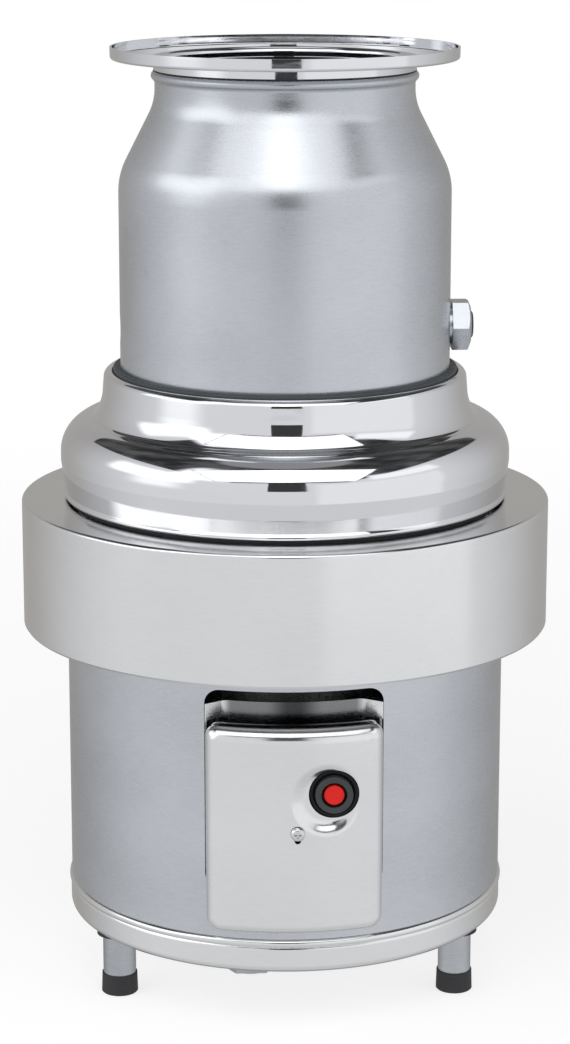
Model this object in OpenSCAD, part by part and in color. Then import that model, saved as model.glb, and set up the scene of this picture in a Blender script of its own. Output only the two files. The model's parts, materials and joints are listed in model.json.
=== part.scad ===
// Commercial food-waste disposer standing on three legs.
// Origin: on the floor, on the motor axis. +Z is up and -Y is the front,
// where the terminal box and its reset button are.

/* [Stand] */
// Clear height between the floor and the base pan
leg_clear = 44; // [42:1:60]
// Radius of the circle that the three legs stand on
leg_circle = 131.5; // [129:0.5:132]
// Outer radius of a leg tube
leg_r = 11.1; // [10:0.1:11.5]
// Height of the rubber foot tips
tip_h = 14; // [12:1:18]

/* [Enclosure] */
// Outer radius of the stainless motor shell
shell_r = 148.3; // [148:0.1:149]
// Height of the motor shell between the pan's bead and the skirt ring
shell_h = 263; // [262:1:266]
// Outer radius of the wide skirt ring
ring_r = 178; // [176:1:184]
// Height of the skirt ring
ring_h = 86.5; // [84:0.5:90]
// Wall of the sheet-metal skins
sheet = 1.5; // [1.2:0.1:1.6]

/* [Grind chamber] */
// Outer radius of the chamber's straight body
chamber_r = 110.4; // [110.2:0.1:110.6]
// Outer radius of the chamber's neck
neck_r = 85.8; // [85.6:0.1:86]
// Outer radius of the sink flange's rim
flange_r = 115; // [110:1:120]
// Height of the sink flange's upright rim
rim_h = 8; // [6:1:10]
// Width across the flats of the water inlet coupling
inlet_af = 31.75; // [28:0.25:32]

/* [Grinding elements] */
// Radius of the rotating shredder plate
plate_r = 98.9; // [98:0.1:99.2]
// Number of cutting grooves in the stationary shredder
groove_n = 36; // [24:1:40]

/* [Motor] */
// Radius of the rotor
rotor_r = 44.4; // [44:0.1:44.5]
// Number of stator slots
slot_n = 24; // [12:1:24]
// Number of rotor bars
bar_n = 20; // [12:1:22]

/* [Terminal box] */
// Half of the cover's width
cover_hw = 57.2; // [56:0.1:57.3]
// Radius of the cover's curved face
cover_r = 158; // [157:0.5:160]
// Travel of the reset button
button_travel = 2.5; // [2:0.1:2.8]

/* [Hidden] */
$fn = 96;
eps = 0.1;

// Heights, from the floor up
pan_z = leg_clear;
pan_floor = 1.5;
plate_z = pan_z + pan_floor;
plate_t = 5;
bell_z = plate_z + plate_t;
shell_z = pan_z + 23.4;
shell_top = shell_z + shell_h;
ring_t = 2;
ring_top = shell_top + ring_t;
trim_z = ring_top + 1.5;
collar_top = trim_z + 84.6;
housing_z = shell_top - 12.4;
housing_top = housing_z + 60;
seat_z = housing_top + 2;
chamber_top = seat_z + 236.8;
collar_z = chamber_top + 0.8;
rim_z = collar_z + 6.7;
total_h = rim_z + rim_h;
inlet_z = seat_z + 67;
drain_z = housing_z - 40;

// Legs: two at the front corners and one behind
leg_turn = -1.2;
leg_angles = [210 + leg_turn, 330 + leg_turn, 90 + leg_turn];
leg_wall = 1.6;
stud_r = 4;

// Terminal box, its window in the shell and its cover
window_hw = cover_hw + 0.6;
window_z = [100, 235];
cover_z = [74, 213.6];
cover_t = 1.4;
box_hw = 57.4;
box_z = [78, 225];
box_back = -97;
box_front_r = 137;
lip_z = 205;
screw_at = [1.5, 143];
reset_at = [25, 168.4];
dish_at = [20.9, 164.9];
dish_r = 21.8;
dish_y = -151;
bezel_r = 16.25;
collar_r = 12.15;
button_r = 6.6;
gland_at = [-28, -115];
gland_r = 13;
gland_bore_r = 11.1;

// Motor
can_r = 84.5;
can_t = 2;
can_z = [bell_z + 27.5, bell_z + 175.5];
core_z = [104, 196];
stator_bore_r = 45;
bolt_circle = 92;
bolt_angles = [30, 150, 210, 330];
shaft_r = 14;
journal_r = 15;
seal_r = 16;

// Bearings
ball_r = 3.6;
ball_ring = 16.75;
ball_n = 8;
ball_z = bell_z + 13.5;
groove_r = 3.72;
roller_tilt = 14;
roller_half = 2.09;
roller_far = 93;
roller_len = 13;
roller_n = 14;
row_z = [housing_z - 44, housing_z - 24];
bearing_z = [housing_z - 53, housing_z - 15];

// Waste housing, grinding elements and drain
clamp_circle = 118.5;
clamp_bolt_r = 4;
ledge_z = housing_top - 12;
shred_top = seat_z + 20;
disc_z = [seat_z + 2, seat_z + 10];
post_circle = 95;
post_r = 9;
post_angles = [45, 135, 225, 315];
end_bell_z = [can_z[1], can_z[1] + 10];
duct_x = 20;
duct_y = 72;
duct_r = 32;
duct_bore = 28;
pipe_r = 38.1;
pipe_bore = 34;
pipe_end = ring_r - 1;
drain_bolt_at = [[-57, 45], [57, 45], [-57, 85], [57, 85]];

// ---------------------------------------------------------------- helpers

// Points along an arc from angle a0 to angle a1
function arc(cx, cy, r, a0, a1, n = 6) =
    [for (i = [0:n]) let(a = a0 + (a1 - a0) * i / n) [cx + r * cos(a), cy + r * sin(a)]];

function reversed(p) = [for (i = [len(p) - 1:-1:0]) p[i]];

function left_of(a, b) = let(d = b - a) [-d[1], d[0]] / norm(d);

// A path moved sideways by t, with mitred corners: right of travel when t is positive
function beside(p, t) = [
    for (i = [0:len(p) - 1])
        let(
            before = i == 0 ? left_of(p[0], p[1]) : left_of(p[i - 1], p[i]),
            after = i == len(p) - 1 ? before : left_of(p[i], p[i + 1]),
            m = before + after
        )
        p[i] - m * 2 * t / (m * m)
];

// A path without points that repeat the one before
function distinct(p) = [for (i = [0:len(p) - 1]) if (i == 0 || norm(p[i] - p[i - 1]) > 0.01) p[i]];

// Closed outline of a sheet whose outer face follows path p
function skin(p, t) = let(q = distinct(p)) concat(q, reversed(beside(q, t)));

// Outline of a rectangle with round corners, from its lowest and highest corner
function round_rect(lo, hi, r, n = 6) = concat(
    arc(lo[0] + r, lo[1] + r, r, 180, 270, n),
    arc(hi[0] - r, lo[1] + r, r, 270, 360, n),
    arc(hi[0] - r, hi[1] - r, r, 0, 90, n),
    arc(lo[0] + r, hi[1] - r, r, 90, 180, n)
);

module turned(points) rotate_extrude() polygon(points);

// Tube between two heights
module tube(r_out, r_in, z0, z1) turned([[r_in, z0], [r_out, z0], [r_out, z1], [r_in, z1]]);

// Cylinder between two heights
module rod(r, z0, z1) translate([0, 0, z0]) cylinder(r = r, h = z1 - z0);

// Hexagonal prism with flats across af
module hex(af, z0, z1) translate([0, 0, z0]) cylinder(r = af / sqrt(3), h = z1 - z0, $fn = 6);

// Children copied to each angle on a circle
module ring_of(angles, radius) for (a = angles) rotate([0, 0, a]) translate([radius, 0, 0]) children();

// Children turned so that their +Z points out of the front (-Y), at x and height z
module facing_front(x, y, z) translate([x, y, z]) rotate([90, 0, 0]) children();

// ---------------------------------------------------------------- inlet

module mounting_flange() {
    path = concat(
        [[flange_r, total_h], [flange_r, total_h - 1.5], [flange_r - 0.8, rim_z + 2]],
        arc(flange_r - 2.8, rim_z + 2, 2, 0, -90),
        arc(88.5, rim_z - 2, 2, 90, 180),
        [[86.5, collar_z], [neck_r - 1.9, collar_z], [neck_r - 1.9, collar_z - 17.6]]
    );
    color("gainsboro") turned(skin(path, sheet));
}

module flange_gasket() {
    color("dimgray") tube(86.6, neck_r - 1.4, chamber_top, collar_z);
}

module upper_chamber() {
    neck_z = chamber_top - 11.4;
    shoulder_z = neck_z - 68.2;
    wall = concat(
        [[neck_r, neck_z + 4]],
        arc(neck_r + 36.9, neck_z, 36.9, 180, 207.5, 8),
        arc(chamber_r - 46.7, shoulder_z, 46.7, 27.5, 0, 8),
        [[chamber_r, seat_z + 4]]
    );
    inner = beside(distinct(wall), sheet);
    outline = concat(
        [[neck_r - sheet, chamber_top], [neck_r + 0.4, chamber_top]],
        arc(neck_r - 0.8, chamber_top - 3.2, 3.2, 60, -58),
        wall,
        [[130, seat_z + 4], [130, seat_z], [chamber_r - sheet, seat_z]],
        reversed(inner)
    );
    color("lightsteelblue") difference() {
        turned(outline);
        ring_of([22.5:45:360], clamp_circle) rod(clamp_bolt_r + 0.3, seat_z - 1, seat_z + 5);
        translate([chamber_r - 10, 0, inlet_z]) rotate([0, 90, 0]) cylinder(r = 10.1, h = 20);
    }
}

module water_inlet_coupling() {
    face_x = chamber_r + 13.8;
    hex_x = chamber_r + 1.1;
    tip_r = inlet_af / sqrt(3);
    color("silver") difference() {
        translate([0, 0, inlet_z]) rotate([0, 90, 0]) union() {
            intersection() {
                rotate([0, 0, 30]) hex(inlet_af, hex_x, face_x);
                turned([[0, hex_x - 1], [tip_r + 1, hex_x - 1], [tip_r + 1, face_x - 2.7],
                        [tip_r - 5.6, face_x], [0, face_x]]);
            }
            rod(13, chamber_r - 4, hex_x);
            rod(10, chamber_r - 7, hex_x);
        }
        difference() {
            rod(chamber_r, inlet_z - 40, inlet_z + 40);
            translate([chamber_r - 12, 0, inlet_z]) rotate([0, 90, 0]) cylinder(r = 10, h = 20);
        }
        translate([chamber_r - 12, 0, inlet_z]) rotate([0, 90, 0]) cylinder(r = 9, h = 40);
    }
}

module inlet_plug() {
    color("gray") translate([0, 0, inlet_z]) rotate([0, 90, 0]) difference() {
        turned([[0, chamber_r + 2], [8.95, chamber_r + 2], [8.95, chamber_r + 14.8],
                [8, chamber_r + 15.5], [0, chamber_r + 15.5]]);
        hex(8, chamber_r + 9, chamber_r + 17);
    }
}

// ---------------------------------------------------------------- trim

module chamber_gasket() {
    top = collar_top + 2.4;
    color("darkslategray") turned(concat(
        [[chamber_r + 0.1, top - 14], [115.4, top - 14]],
        arc(113.9, top - 1.5, 1.5, 0, 90),
        [[chamber_r + 0.1, top - 0.6]]
    ));
}

module shoulder_trim() {
    // The fillet is two arcs that tighten towards a nearly flat step, and the bulge is two more
    lean = [35.626, 85, 62.3];
    radii = [29, 5.7, 16.943, 23.8];
    wall_r = 122.5;
    draft = 4.5;
    lip_r = 4.7;
    fillet = [wall_r + radii[0], collar_top - 12.4];
    lip_z = collar_top - lip_r;
    lip_x = fillet[0] - (radii[0] + lip_r + (lip_z - fillet[1]) * sin(draft)) / cos(draft);
    valley = fillet - (radii[0] - radii[1]) * [cos(lean[0]), sin(lean[0])];
    crest = valley - (radii[1] + radii[2]) * [cos(lean[1]), sin(lean[1])];
    bulge = [127.4, collar_top - 54.6];
    path = concat(
        [[lip_x - 1.6, collar_top - 7.5]],
        arc(lip_x, collar_top - 1.6, 1.6, 180, 90, 4),
        arc(lip_x, lip_z, lip_r, 90, draft),
        arc(fillet[0], fillet[1], radii[0], 180 + draft, 180 + lean[0], 8),
        arc(valley[0], valley[1], radii[1], 180 + lean[0], 180 + lean[1], 6),
        arc(crest[0], crest[1], radii[2], lean[1], lean[2], 4),
        arc(bulge[0], bulge[1], radii[3], lean[2], 0, 12),
        [[bulge[0] + radii[3], bulge[1] - 6], [shell_r + 0.1, trim_z + 4.4]],
        arc(shell_r - 0.7, trim_z + 1.9, 1.9, 40, -70, 4)
    );
    color("white") turned(skin(path, sheet));
}

module trim_gasket() {
    color("black") tube(shell_r - 2.4, shell_r - 9, ring_top, trim_z);
}

module skirt_ring() {
    bottom = ring_top - ring_h;
    path = concat(
        [[138, ring_top]],
        arc(ring_r - 2.5, ring_top - 2.5, 2.5, 90, 0),
        [[ring_r, bottom + 1.5], [ring_r - 1, bottom]]
    );
    color("whitesmoke") difference() {
        turned(skin(path, ring_t));
        facing_front(0, ring_r + 10, drain_z) cylinder(r = 50, h = 40);
        translate([-50, ring_r - 30, bottom - 1]) cube([100, 40, drain_z - bottom + 1]);
    }
}

// ---------------------------------------------------------------- enclosure and stand

module motor_shell() {
    color("silver") difference() {
        tube(shell_r, shell_r - sheet, shell_z, shell_top);
        facing_front(0, -100, 0) linear_extrude(height = 80)
            polygon(round_rect([-window_hw, window_z[0]], [window_hw, window_z[1]], 10));
        facing_front(0, shell_r + 10, drain_z) cylinder(r = pipe_r + 3, h = 40);
    }
}

module base_pan() {
    wall_r = shell_r + 0.7;
    outline = concat(
        [[22, pan_z]],
        arc(wall_r - 5, pan_z + 5, 5, -90, 0),
        arc(shell_r - 0.4, shell_z - 2, 2, -55, 90),
        [[shell_r - 1.8, shell_z], [shell_r - 1.8, shell_z - 5], [wall_r - pan_floor, shell_z - 6.5]],
        arc(wall_r - 5, pan_z + 5, 5 - pan_floor, 0, -90),
        [[22, pan_z + pan_floor]]
    );
    color("lightgray") difference() {
        turned(outline);
        ring_of(leg_angles, leg_circle) rod(stud_r + 0.4, pan_z - 1, pan_z + 3);
        translate(gland_at) rod(gland_r + 0.2, pan_z - 1, pan_z + 3);
        for (a = [0:30:330]) rotate([0, 0, a + 15]) translate([40, -3, pan_z - 1]) cube([40, 6, 4]);
    }
}

module base_plate() {
    color("dimgray") difference() {
        tube(141, 36, plate_z, bell_z);
        ring_of(leg_angles, leg_circle) rod(stud_r + 0.4, plate_z - 1, bell_z + 1);
        ring_of(bolt_angles, bolt_circle) rod(3.3, plate_z - 1, bell_z + 1);
        translate(gland_at) rod(gland_r + 0.4, plate_z - 1, bell_z + 1);
    }
}

// One leg: a plugged tube with a stud that passes up through the pan
module leg(angle) {
    rotate([0, 0, angle]) translate([leg_circle, 0, 0]) turned([
        [leg_r - leg_wall, 2.5], [leg_r, 2.5], [leg_r, pan_z - 2], [stud_r, pan_z - 2],
        [stud_r, bell_z + 9], [0, bell_z + 9], [0, pan_z - 10], [leg_r - leg_wall, pan_z - 10],
    ]);
}

module leg_left() color("silver") leg(leg_angles[0]);

module leg_right() color("silver") leg(leg_angles[1]);

module leg_rear() color("silver") leg(leg_angles[2]);

module foot_tips() {
    color("black") ring_of(leg_angles, leg_circle) turned([
        [0, 0], [11.6, 0], [leg_r + 1.2, 0.7], [leg_r + 0.8, tip_h],
        [leg_r, tip_h], [leg_r, 2.5], [0, 2.5],
    ]);
}

module leg_washers() {
    color("black") ring_of(leg_angles, leg_circle) tube(15, stud_r + 0.1, pan_z - 2, pan_z);
}

module leg_nuts() {
    color("silver") ring_of(leg_angles, leg_circle) difference() {
        hex(13, bell_z, bell_z + 6.5);
        rod(stud_r, bell_z - 1, bell_z + 8);
    }
}

// ---------------------------------------------------------------- terminal box

module terminal_box() {
    inner_hw = box_hw - sheet;
    color("darkgray") difference() {
        intersection() {
            translate([-box_hw, -150, box_z[0]])
                cube([2 * box_hw, 150 + box_back, box_z[1] - box_z[0]]);
            rod(box_front_r, box_z[0] - 1, box_z[1] + 1);
        }
        intersection() {
            translate([-inner_hw, -150, box_z[0] + sheet])
                cube([2 * inner_hw, 150 + box_back - sheet, box_z[1] - box_z[0] - 2 * sheet]);
            rod(box_front_r - sheet, box_z[0] - 1, box_z[1] + 1);
        }
        translate([-inner_hw, -150, box_z[0] + sheet])
            cube([2 * inner_hw, 40, lip_z - box_z[0] - sheet]);
        translate(gland_at) rod(gland_r + 0.1, box_z[0] - 1, box_z[0] + 3);
        facing_front(screw_at[0], -90, screw_at[1]) cylinder(r = 2.5, h = 20);
    }
    color("darkgray") facing_front(screw_at[0], box_back - sheet, screw_at[1])
        turned([[2.5, 0], [5, 0], [5, 52], [2.5, 52]]);
}

// The cover's solid block, shrunk evenly by d: a curved slab with every edge rounded
module cover_block(d) {
    r = cover_r - d;
    hw = cover_hw - d;
    side_r = 8 - d;
    top_r = 10 - d;
    low_r = 7 - d;
    fillet = [hw - side_r, -sqrt(pow(r - side_r, 2) - pow(hw - side_r, 2))];
    turn = atan2(fillet[1], fillet[0]);
    intersection() {
        turned(concat(
            [[130, cover_z[0] + d]],
            arc(r - low_r, cover_z[0] + d + low_r, low_r, -90, 0),
            arc(r - top_r, cover_z[1] - d - top_r, top_r, 0, 90),
            [[130, cover_z[1] - d]]
        ));
        facing_front(0, -100, 0) linear_extrude(height = 80)
            polygon(round_rect([-hw, cover_z[0] + d], [hw, cover_z[1] - d], 9 - d));
        translate([0, 0, cover_z[0] - 1]) linear_extrude(height = cover_z[1] - cover_z[0] + 2)
            polygon(concat(
                [[hw, -100]],
                arc(fillet[0], fillet[1], side_r, 0, turn),
                arc(0, 0, r, turn, -180 - turn, 12),
                arc(-fillet[0], fillet[1], side_r, -180 - turn, -180),
                [[-hw, -100]]
            ));
    }
}

module terminal_cover() {
    dish_h = cover_r + dish_y;
    color("gainsboro") difference() {
        union() {
            difference() {
                cover_block(0);
                cover_block(cover_t);
                rod(shell_r + 0.1, cover_z[0] - 5, cover_z[1] + 5);
            }
            intersection() {
                cover_block(0.05);
                facing_front(dish_at[0], dish_y + cover_t, dish_at[1])
                    cylinder(r = dish_r + cover_t, h = dish_h + 4);
            }
        }
        facing_front(dish_at[0], dish_y, dish_at[1]) cylinder(r = dish_r, h = dish_h + 5);
        facing_front(reset_at[0], dish_y + 5, reset_at[1]) cylinder(r = bezel_r + 0.05, h = 12);
        facing_front(screw_at[0], dish_y, screw_at[1]) cylinder(r = 2.9, h = 12);
        facing_front(screw_at[0], dish_y, screw_at[1] - 4.6) cylinder(r = 2.1, h = 12);
    }
}

module cover_screw() {
    color("silver") facing_front(screw_at[0], 0, screw_at[1]) difference() {
        turned(concat(
            [[0, 128], [2.4, 128], [2.4, cover_r], [4.7, cover_r]],
            arc(2.2, cover_r, 2.5, 0, 75, 5),
            [[0, cover_r + 2.6]]
        ));
        for (a = [0, 90]) rotate([0, 0, a]) translate([-2.3, -0.5, cover_r + 1]) cube([4.6, 1, 3]);
    }
}

module reset_bezel() {
    color("black") facing_front(reset_at[0], 0, reset_at[1]) turned([
        [collar_r + 0.05, 146], [bezel_r, 146], [bezel_r, 152.2], [bezel_r - 0.8, 153],
        [bezel_r - 2.4, 153], [collar_r + 0.05, 152],
    ]);
}

module reset_collar() {
    color("dimgray") facing_front(reset_at[0], 0, reset_at[1]) turned([
        [7, 146], [collar_r, 146], [collar_r, 156.6], [collar_r - 0.6, 157.2],
        [8.6, 157.2], [8.3, 156.9], [8.3, 148], [7, 148],
    ]);
}

module reset_button() {
    color("red") facing_front(reset_at[0], 0, reset_at[1]) turned(concat(
        [[0, 124], [2.5, 124], [2.5, 143.4], [7.8, 143.4], [7.8, 145.8], [button_r, 145.8]],
        arc(button_r - 1.2, 155.6, 1.2, 0, 70, 4),
        [[0, 157.4]]
    ));
}

// Coil spring between the protector and the button's flange
module reset_spring() {
    wire = 0.5;
    coil = 4.6;
    turns = 4;
    low = 135.4;
    high = 142.8;
    sides = 6;
    steps = turns * 12;
    rings = [for (i = [0:steps]) let(a = 360 * turns * i / steps, z = low + (high - low) * i / steps)
        for (j = [0:sides - 1]) let(b = 360 * j / sides, r = coil + wire * cos(b))
            [r * cos(a), r * sin(a), z + wire * sin(b)]];
    body = [for (i = [0:steps - 1]) for (j = [0:sides - 1]) let(k = (j + 1) % sides)
        [i * sides + j, i * sides + k, (i + 1) * sides + k, (i + 1) * sides + j]];
    caps = [[for (j = [sides - 1:-1:0]) j], [for (j = [0:sides - 1]) steps * sides + j]];
    color("silver") facing_front(reset_at[0], 0, reset_at[1])
        polyhedron(points = rings, faces = [for (f = concat(body, caps)) reversed(f)]);
}

module overload_protector() {
    size = [28, 22, 34];
    color("saddlebrown") difference() {
        translate([reset_at[0] - size[0] / 2, -134.5, reset_at[1] - size[2] / 2]) cube(size);
        facing_front(reset_at[0], 0, reset_at[1]) rod(2.55, 120, 140);
    }
    color("darkkhaki") for (x = [-9, 9]) translate([reset_at[0] + x - 3, -112.6, reset_at[1] - 5])
        cube([6, 14, 0.8]);
}

module terminal_block() {
    color("khaki") difference() {
        translate([-47, -118, 168]) cube([42, 19.4, 26]);
        for (x = [-39, -26, -13]) for (z = [175, 187]) facing_front(x, -112, z) rod(2, 0, 10);
    }
}

module terminal_screws() {
    color("goldenrod") for (x = [-39, -26, -13]) for (z = [175, 187]) facing_front(x, -112, z) {
        rod(1.95, 0.1, 6.1);
        rod(3.6, 6.1, 8.2);
    }
}

module conduit_gland() {
    color("silver") translate(gland_at) difference() {
        union() {
            rod(gland_r, pan_z - 8, box_z[0] + 12);
            hex(34, pan_z - 6, pan_z);
        }
        rod(gland_bore_r, pan_z - 9, box_z[0] + 13);
    }
}

module gland_nut() {
    color("silver") translate(gland_at) tube(16, gland_r, box_z[0] + sheet, box_z[0] + sheet + 4);
}

// ---------------------------------------------------------------- motor

module lower_end_bell() {
    z = bell_z;
    top = can_z[0];
    color("darkgray") difference() {
        turned([
            [11, z], [98, z], [98, z + 6.5], [88, z + 6.5], [88, top], [78, top],
            [78, z + 8], [29, z + 8], [29, z + 20.5], [23.5, z + 20.5], [23.5, z + 6.5], [11, z + 6.5],
        ]);
        ring_of(bolt_angles, bolt_circle) rod(3.3, z - 1, z + 8);
        translate(gland_at) rod(gland_r + 5.5, z - 1, z + 30);
    }
}

module motor_can() {
    color("slategray") tube(can_r, can_r - can_t, can_z[0], can_z[1]);
}

module stator_core() {
    color("dimgray") difference() {
        tube(can_r - can_t, stator_bore_r, core_z[0], core_z[1]);
        for (i = [0:slot_n - 1]) rotate([0, 0, i * 360 / slot_n]) {
            translate([48, -3, core_z[0] - 1]) cube([18, 6, core_z[1] - core_z[0] + 2]);
            translate([stator_bore_r - 1, -1.2, core_z[0] - 1])
                cube([5, 2.4, core_z[1] - core_z[0] + 2]);
        }
    }
}

module stator_windings() {
    lo = core_z[0] - 22;
    hi = core_z[1] + 20;
    color("chocolate") union() {
        turned(round_rect([48.5, lo], [70, core_z[0] - eps], 5, 4));
        turned(round_rect([48.5, core_z[1] + eps], [70, hi], 5, 4));
        for (i = [0:slot_n - 1]) rotate([0, 0, i * 360 / slot_n])
            translate([49.5, -2.7, lo + 8]) cube([16, 5.4, hi - lo - 16]);
    }
}

module upper_end_bell() {
    z = end_bell_z[0];
    top = end_bell_z[1];
    color("darkgray") difference() {
        turned([
            [17, z], [104, z], [104, top], [38, top], [34, top + 4], [34, housing_z],
            [30, housing_z], [30, bearing_z[0]], [24, bearing_z[0]], [24, top + 4], [17, top],
        ]);
        ring_of(bolt_angles, bolt_circle) rod(3.3, z - 1, top + 1);
        ring_of(post_angles, post_circle) rod(4.2, z - 1, top + 1);
    }
}

module motor_bolts() {
    color("silver") ring_of(bolt_angles, bolt_circle) union() {
        rod(3.2, plate_z + 0.2, end_bell_z[1]);
        hex(10, end_bell_z[1], end_bell_z[1] + 4);
    }
}

module motor_shaft() {
    top = disc_z[1] - 1;
    slot_z = disc_z[0] - 30;
    color("lightgray") difference() {
        turned([
            [0, bell_z + 1], [10, bell_z + 1], [10, ball_z + 7.4], [shaft_r, ball_z + 7.4],
            [shaft_r, bearing_z[0]], [journal_r, bearing_z[0]], [journal_r, bearing_z[1] + 3],
            [seal_r, bearing_z[1] + 3], [seal_r, housing_z + 34], [shaft_r, housing_z + 34],
            [shaft_r, top], [0, top],
        ]);
        rod(6, top - 27, top + 1);
        translate([shaft_r - 3.5, -4, slot_z + 5]) cube([5, 8, 25]);
    }
}

module rotor_core() {
    color("gray") difference() {
        tube(rotor_r, shaft_r, core_z[0], core_z[1]);
        ring_of([0:360 / bar_n:359], 38.5) rod(3, core_z[0] - 1, core_z[1] + 1);
    }
}

module rotor_cage() {
    ring_h = 7;
    color("silver") union() {
        tube(43, 26, core_z[0] - ring_h, core_z[0] - eps);
        tube(43, 26, core_z[1] + eps, core_z[1] + ring_h);
        ring_of([0:360 / bar_n:359], 38.5) rod(2.9, core_z[0] - 1, core_z[1] + 1);
        for (a = [0:45:315]) rotate([0, 0, a]) translate([29, -1, core_z[0] - ring_h - 8])
            cube([13, 2, 9]);
    }
}

module lower_bearing_outer() {
    color("lightgray") difference() {
        tube(23.5, 19.3, ball_z - 7, ball_z + 7);
        rotate_extrude() translate([ball_ring, ball_z]) circle(r = groove_r);
    }
}

module lower_bearing_inner() {
    color("lightgray") difference() {
        tube(14.2, 10, ball_z - 7, ball_z + 7);
        rotate_extrude() translate([ball_ring, ball_z]) circle(r = groove_r);
    }
}

module lower_balls() {
    color("white") ring_of([0:360 / ball_n:359], ball_ring) translate([0, 0, ball_z]) sphere(r = ball_r);
}

// Height of a roller row's apex above or below the row's middle
function apex(flip) = (flip ? 1 : -1) * roller_far * cos(roller_tilt);

// Radius of a race cone at height z, for a row at height mid
function race_r(z, mid, flip, half) = abs(z - mid - apex(flip)) * tan(roller_tilt + half);

module upper_bearing_cup() {
    mid = (row_z[0] + row_z[1]) / 2;
    points = [
        [30, bearing_z[0]], [30, bearing_z[1]],
        [race_r(bearing_z[1], row_z[1], true, roller_half), bearing_z[1]],
        [race_r(mid, row_z[1], true, roller_half), mid],
        [race_r(bearing_z[0], row_z[0], false, roller_half), bearing_z[0]],
    ];
    color("lightgray") turned(points);
}

module upper_bearing_cone() {
    mid = (row_z[0] + row_z[1]) / 2;
    points = [
        [journal_r, bearing_z[1]], [journal_r, bearing_z[0]],
        [race_r(bearing_z[0], row_z[0], false, -roller_half), bearing_z[0]],
        [race_r(mid, row_z[0], false, -roller_half), mid],
        [race_r(bearing_z[1], row_z[1], true, -roller_half), bearing_z[1]],
    ];
    color("lightgray") turned(points);
}

module upper_rollers() {
    near = roller_far - roller_len / 2;
    far = roller_far + roller_len / 2;
    slim = 0.97;
    color("white") for (row = [0, 1]) let(flip = row == 1)
        for (i = [0:roller_n - 1]) rotate([0, 0, i * 360 / roller_n])
            translate([0, 0, row_z[row] + apex(flip)])
                rotate([0, flip ? 180 - roller_tilt : roller_tilt, 0]) translate([0, 0, near])
                    cylinder(r1 = near * tan(roller_half) * slim, r2 = far * tan(roller_half) * slim,
                             h = far - near);
}

module bearing_locknut() {
    color("dimgray") difference() {
        tube(21, shaft_r, bearing_z[0] - 8, bearing_z[0] - 0.2);
        for (a = [0:90:270]) rotate([0, 0, a]) translate([18.5, -2.5, bearing_z[0] - 9])
            cube([4, 5, 10]);
    }
}

// Oil seal that closes the top of the bearing housing
module oil_seal() {
    z = bearing_z[1] + 4;
    color("black") turned([
        [seal_r + 0.05, z + 4], [29.95, z + 4], [29.95, z + 8.5], [22, z + 8.5],
        [seal_r + 0.05, z + 6],
    ]);
}

// Triple-lip seal that keeps water out of the bearing housing
module lip_seal() {
    z = housing_z + 12.1;
    lip = [[5, 3], [0.05, 4.2], [0.05, 5]];
    lips = [for (i = [0:2]) for (p = lip) [seal_r + p[0], z + p[1] + 5 * i]];
    color("black") turned(concat([[25.9, z], [21, z]], lips, [[21, z + 19.5], [25.9, z + 19.5]]));
}

// ---------------------------------------------------------------- waste housing and grinding

module waste_housing() {
    z = housing_z;
    top = housing_top;
    color("darkgray") difference() {
        turned([
            [seal_r + 1.5, z], [112, z], [112, top - 16], [130, top - 16], [130, top],
            [109, top], [109, ledge_z], [103, ledge_z], [103, z + 8], [31, z + 8], [31, z + 32],
            [26, z + 32], [26, z + 12], [seal_r + 1.5, z + 12],
        ]);
        drain_duct(duct_bore, z - 1, z + 9);
        ring_of([22.5:45:360], clamp_circle) rod(clamp_bolt_r, top - 17, top + 1);
        ring_of(post_angles, post_circle) rod(4.2, z - 1, z + 5);
    }
}

// Upright duct with round ends, as wide as the slot in the housing's floor
module drain_duct(r, z0, z1) {
    for (x = [-duct_x, duct_x]) translate([x, duct_y, 0]) rod(r, z0, z1);
    translate([-duct_x, duct_y - r, z0]) cube([2 * duct_x, 2 * r, z1 - z0]);
}

// Studs with spacer collars between the end bell and the waste housing
module housing_posts() {
    color("slategray") ring_of(post_angles, post_circle) union() {
        rod(post_r, end_bell_z[1], housing_z);
        rod(4.15, end_bell_z[0] - 6, housing_z + 4.5);
        hex(12, end_bell_z[0] - 6, end_bell_z[0]);
    }
}

module housing_gasket() {
    color("black") difference() {
        tube(130, 109, housing_top, seat_z);
        ring_of([22.5:45:360], clamp_circle) rod(clamp_bolt_r + 0.3, housing_top - 1, seat_z + 1);
    }
}

module clamp_bolts() {
    color("silver") ring_of([22.5:45:360], clamp_circle) union() {
        rod(clamp_bolt_r, housing_top - 15, seat_z + 4);
        hex(13, seat_z + 4, seat_z + 8.6);
    }
}

module stationary_shredder() {
    color("gray") difference() {
        turned([[99.8, ledge_z], [108.5, ledge_z], [108.5, shred_top], [102, shred_top], [99.8, shred_top - 3]]);
        for (i = [0:groove_n - 1]) rotate([0, 0, i * 360 / groove_n])
            translate([98, -1.6, ledge_z + 10]) cube([5.5, 3.2, shred_top - ledge_z]);
    }
}

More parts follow.
